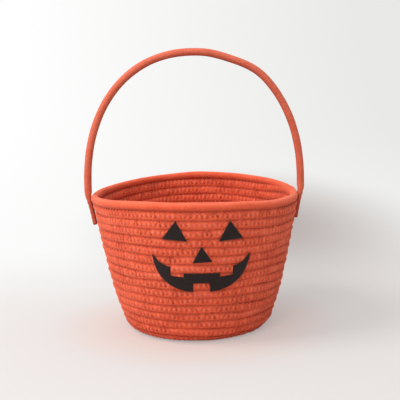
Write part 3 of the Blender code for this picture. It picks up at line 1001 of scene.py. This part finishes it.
def black_felt():
    """Pressed black wool felt: dull, with short fibres in all directions and a little grey lint.

    Its fibres are drawn 0.4 mm apart, because real ones are too fine to show, and are matted
    together in lumps of 2 mm. Both scales count them along a metre.
    """
    fibre_scale = 2600.0
    mat_scale = 500.0
    material = bpy.data.materials.new("black_felt")
    material.use_nodes = True
    tree = material.node_tree
    shader = tree.nodes["Principled BSDF"]
    shader.inputs["Roughness"].default_value = 0.95
    shader.inputs["Specular IOR Level"].default_value = 0.15
    shader.inputs["Sheen Weight"].default_value = 0.14
    shader.inputs["Sheen Roughness"].default_value = 0.6
    place = add_node(tree, "ShaderNodeTexCoord").outputs["Object"]
    fibre = add_node(
        tree,
        "ShaderNodeTexNoise",
        {"Scale": fibre_scale, "Detail": 4.0, "Distortion": 1.5},
        {"Vector": place},
    )
    mat = add_node(tree, "ShaderNodeTexNoise", {"Scale": mat_scale, "Detail": 2.0}, {"Vector": place})
    lint = add_node(
        tree,
        "ShaderNodeMapRange",
        {"From Min": 0.60, "From Max": 0.80, "To Max": 0.5},
        {"Value": fibre.outputs["Fac"]},
    )
    body = add_node(
        tree,
        "ShaderNodeMix",
        {6: linear("#1D1111"), 7: linear("#453433")},
        {0: lint.outputs["Result"]},
        data_type="RGBA",
    )
    tree.links.new(body.outputs[2], shader.inputs["Base Color"])
    mat_bump = add_node(
        tree,
        "ShaderNodeBump",
        {"Strength": 0.5, "Distance": 0.0002},
        {"Height": mat.outputs["Fac"]},
    )
    bump = add_node(
        tree,
        "ShaderNodeBump",
        {"Strength": 0.6, "Distance": 0.00012},
        {"Height": fibre.outputs["Fac"], "Normal": mat_bump.outputs["Normal"]},
    )
    tree.links.new(bump.outputs["Normal"], shader.inputs["Normal"])
    return material


def turned(across, up, tilt):
    """A place on the flat felt after a turn about the origin."""
    return across * math.cos(tilt) - up * math.sin(tilt), across * math.sin(tilt) + up * math.cos(tilt)


def triangle(middle, base_drop, width, height, tilt):
    """Triangle that stands on its base, turned about the base's middle, which lies below the rim."""
    base = rim_length - base_drop
    corners = []
    for corner in ((-width / 2, 0.0), (width / 2, 0.0), (0.0, height)):
        across, up = turned(*corner, tilt)
        corners.append((middle + across, base + up))
    return corners


mouth_half = 0.0474
mouth_tip = 0.0375
mouth_bottom = rim_length - 0.0812
mouth_middle = -0.0007
mouth_tilt = math.radians(-1.2)
lip_half = 0.0478
lip_squareness = 2.35
tooth_half = 0.0080
tooth_top = 0.0094
gap_inner = 0.0169
gap_outer = 0.0297
gap_floor_inner = 0.0152
gap_floor_outer = 0.0166
middle_top = 0.0190
wing_foot = 0.0258
lip_steps = 20
wing_steps = 8
lip_rise = mouth_tip / (1 - (1 - (mouth_half / lip_half) ** lip_squareness) ** (1 / lip_squareness))
grin = [(tooth_half, tooth_top)]
for step in range(lip_steps + 1):
    share = math.sin(math.pi / 2 * step / lip_steps)
    across = tooth_half + (mouth_half - tooth_half) * share
    fall = (1 - (across / lip_half) ** lip_squareness) ** (1 / lip_squareness)
    grin.append((across, lip_rise * (1 - fall)))
for step in range(wing_steps - 1, -1, -1):
    share = step / wing_steps
    across = gap_outer + (mouth_half - gap_outer) * share
    grin.append((across, wing_foot + (mouth_tip - wing_foot) * share ** 2))
grin += [(gap_outer, gap_floor_outer), (gap_inner, gap_floor_inner), (gap_inner, middle_top)]
grin += [(-across, up) for across, up in reversed(grin)]
turned_grin = []
for across, up in grin:
    across, up = turned(across, up - mouth_tip / 2, mouth_tilt)
    turned_grin.append((mouth_middle + across, mouth_bottom + mouth_tip / 2 + up))
eye_width = 0.0238
eye_height = 0.0188
nose_width = 0.0184
nose_height = 0.0160
left_eye = triangle(-0.0259, 0.0278, eye_width, eye_height, tilt=math.radians(-5))
right_eye = triangle(0.0275, 0.0294, eye_width, eye_height, tilt=math.radians(3))
nose = triangle(0.0, 0.0505, nose_width, nose_height, tilt=math.radians(2))
by_eyes = ["basket_rope_upper", "basket_rope_rim"]
by_nose = ["basket_rope_high"]
by_mouth = ["basket_rope_middle", "basket_rope_high"]
felt_cuts = {
    "eye_patch_left": (left_eye, (eye_width, eye_height), by_eyes),
    "eye_patch_right": (right_eye, (eye_width, eye_height), by_eyes),
    "nose_patch": (nose, (nose_width, nose_height), by_nose),
    "mouth_patch": (turned_grin, (2 * mouth_half, mouth_tip), by_mouth),
}
felt = black_felt()
for name, (outline, flat_size, rows_behind) in felt_cuts.items():
    patch = felt_patch("felt_" + name, outline, felt)
    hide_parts(name)
    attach(patch, "basket")

# Studio
# A pale floor sweeps up into a pale wall all round. Round the basket the floor has a painted warm
# bounce light, and what the camera sees of the floor and wall is partly painted light: white on the
# left, greyer to the right, with a painted soft shadow of the basket on the wall behind it. A large
# soft lamp stands high on the left, a smaller one in front, and the sky's even light fills the shadows.
floor_radius = 1.6
cove_radius = 0.7
cove_steps = 10
wall_height = 1.2
lamp_aim = (0.0, 0.0, 0.08)
bpy.ops.object.select_all(action="DESELECT")
bpy.ops.mesh.primitive_circle_add(vertices=96, radius=floor_radius, fill_type="NGON")
sweep = bpy.context.object
sweep.name = "studio_sweep"
bpy.ops.object.mode_set(mode="EDIT")
bpy.ops.mesh.select_all(action="SELECT")
bpy.ops.mesh.flip_normals()
bpy.ops.mesh.select_mode(type="EDGE")
bpy.ops.mesh.region_to_loop()
for step in range(1, cove_steps + 1):
    turn_before = math.pi / 2 * (step - 1) / cove_steps
    turn_after = math.pi / 2 * step / cove_steps
    reach_before = floor_radius + cove_radius * math.sin(turn_before)
    grow = (floor_radius + cove_radius * math.sin(turn_after)) / reach_before
    rise = cove_radius * (math.cos(turn_before) - math.cos(turn_after))
    bpy.ops.mesh.extrude_region_move(TRANSFORM_OT_translate={"value": (0, 0, rise)})
    bpy.ops.transform.resize(value=(grow, grow, 1))
bpy.ops.mesh.extrude_region_move(TRANSFORM_OT_translate={"value": (0, 0, wall_height)})
bpy.ops.mesh.select_all(action="SELECT")
bpy.ops.mesh.normals_make_consistent(inside=True)
bpy.ops.object.mode_set(mode="OBJECT")
bpy.ops.object.shade_smooth()
# Matt paper scatters light evenly, with next to no gloss.
paper = bpy.data.materials.new("matt_white_paper")
paper.use_nodes = True
tree = paper.node_tree
paper_shader = tree.nodes["Principled BSDF"]
paper_shader.inputs["Roughness"].default_value = 0.9
paper_shader.inputs["Specular IOR Level"].default_value = 0.1
floor_place = add_node(tree, "ShaderNodeTexCoord").outputs["Object"]
across = add_node(tree, "ShaderNodeSeparateXYZ", links={"Vector": floor_place})
raised = add_node(
    tree,
    "ShaderNodeMapRange",
    {"From Min": 0.02, "From Max": 0.50},
    {"Value": across.outputs["Z"]},
)
from_basket = add_node(tree, "ShaderNodeVectorMath", links={0: floor_place}, operation="LENGTH")
# Painted warm bounce light on the floor round the basket.
painted_bounce_light = add_node(
    tree,
    "ShaderNodeMapRange",
    {"From Min": 0.075, "From Max": 0.150},
    {"Value": from_basket.outputs["Value"]},
)
floor_colour = add_node(
    tree,
    "ShaderNodeMix",
    {6: linear("#CDADA0"), 7: linear("#C8C2BF")},
    {0: painted_bounce_light.outputs["Result"]},
    data_type="RGBA",
)
paper_colour = add_node(
    tree,
    "ShaderNodeMix",
    {7: linear("#B4B4B3")},
    {0: raised.outputs["Result"], 6: floor_colour.outputs[2]},
    data_type="RGBA",
)
tree.links.new(paper_colour.outputs[2], paper_shader.inputs["Base Color"])
# Painted light on the floor and wall as the camera sees them: white on the left, pale grey on the right.
painted_light_across = add_node(
    tree,
    "ShaderNodeMapRange",
    {"From Min": -0.45, "From Max": 0.65},
    {"Value": across.outputs["X"]},
)
painted_light_tint = add_node(
    tree,
    "ShaderNodeMix",
    {6: linear("#FFFFFF"), 7: linear("#E9E9E7")},
    {0: painted_light_across.outputs["Result"]},
    data_type="RGBA",
)
# Painted shadow: a soft grey patch behind the basket, to the right.
painted_shadow_place = add_node(
    tree,
    "ShaderNodeMapping",
    {"Location": (0.13, 0.50, 0.0), "Scale": (0.25, 0.55, 1.0)},
    {"Vector": floor_place},
    vector_type="TEXTURE",
)
from_painted_shadow = add_node(
    tree,
    "ShaderNodeVectorMath",
    links={0: painted_shadow_place.outputs["Vector"]},
    operation="LENGTH",
)
shade = add_node(
    tree,
    "ShaderNodeMapRange",
    {"From Min": 0.0, "From Max": 1.30, "To Min": 1.0, "To Max": 0.0},
    {"Value": from_painted_shadow.outputs["Value"]},
    interpolation_type="SMOOTHSTEP",
)
painted_shadow_tint = add_node(
    tree,
    "ShaderNodeMix",
    {7: linear("#B9AFAC")},
    {0: shade.outputs["Result"], 6: painted_light_tint.outputs[2]},
    data_type="RGBA",
)
far_wall = add_node(tree, "ShaderNodeEmission", {"Strength": 1.0}, {"Color": painted_shadow_tint.outputs[2]})
far_share = add_node(
    tree,
    "ShaderNodeMapRange",
    {"From Min": -0.02, "From Max": 0.38, "To Min": 0.40},
    {"Value": across.outputs["Y"]},
    interpolation_type="SMOOTHSTEP",
)
ray = add_node(tree, "ShaderNodeLightPath")
seen = add_node(
    tree,
    "ShaderNodeMath",
    links={0: ray.outputs["Is Camera Ray"], 1: ray.outputs["Is Glossy Ray"]},
    operation="MAXIMUM",
)
seen = add_node(
    tree,
    "ShaderNodeMath",
    links={0: seen.outputs[0], 1: ray.outputs["Is Transmission Ray"]},
    operation="MAXIMUM",
)
seen_far = add_node(
    tree,
    "ShaderNodeMath",
    links={0: seen.outputs[0], 1: far_share.outputs["Result"]},
    operation="MULTIPLY",
)
surface = add_node(
    tree,
    "ShaderNodeMixShader",
    links={0: seen_far.outputs[0], 1: paper_shader.outputs["BSDF"], 2: far_wall.outputs["Emission"]},
)
tree.links.new(surface.outputs["Shader"], tree.nodes["Material Output"].inputs["Surface"])
sweep.data.materials.append(paper)
sweep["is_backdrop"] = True

sky = bpy.data.worlds.new("even_light")
sky.use_nodes = True
tree = sky.node_tree
background = tree.nodes["Background"]
background.inputs["Color"].default_value = linear("#F4F6FA")
skyward = add_node(tree, "ShaderNodeTexCoord").outputs["Generated"]
skyward = add_node(tree, "ShaderNodeSeparateXYZ", links={"Vector": skyward})
sky_strength = add_node(
    tree,
    "ShaderNodeMapRange",
    {"From Min": 0.0, "From Max": 0.9, "To Min": 0.30, "To Max": 1.15},
    {"Value": skyward.outputs["Z"]},
)
tree.links.new(sky_strength.outputs["Result"], background.inputs["Strength"])
bpy.context.scene.world = sky


def soft_lamp(name, place, aim, size, power, tint):
    """A square soft lamp that shines at a point."""
    lamp_data = bpy.data.lights.new(name, "AREA")
    lamp_data.shape = "SQUARE"
    lamp_data.size = size
    lamp_data.energy = power
    lamp_data.color = linear(tint)[:3]
    lamp = bpy.data.objects.new(name, lamp_data)
    bpy.context.scene.collection.objects.link(lamp)
    way = Vector(aim) - Vector(place)
    lamp.matrix_world = Matrix.Translation(place) @ way.to_track_quat("-Z", "Y").to_matrix().to_4x4()


soft_lamp("high_window", (-1.76, -0.40, 2.02), lamp_aim, size=1.1, power=41.0, tint="#FFFDFA")
soft_lamp("low_window", (-0.70, -1.60, 1.45), lamp_aim, size=0.9, power=16.5, tint="#FFFDFA")

bpy.context.scene.view_settings.view_transform = "Standard"
low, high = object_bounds()
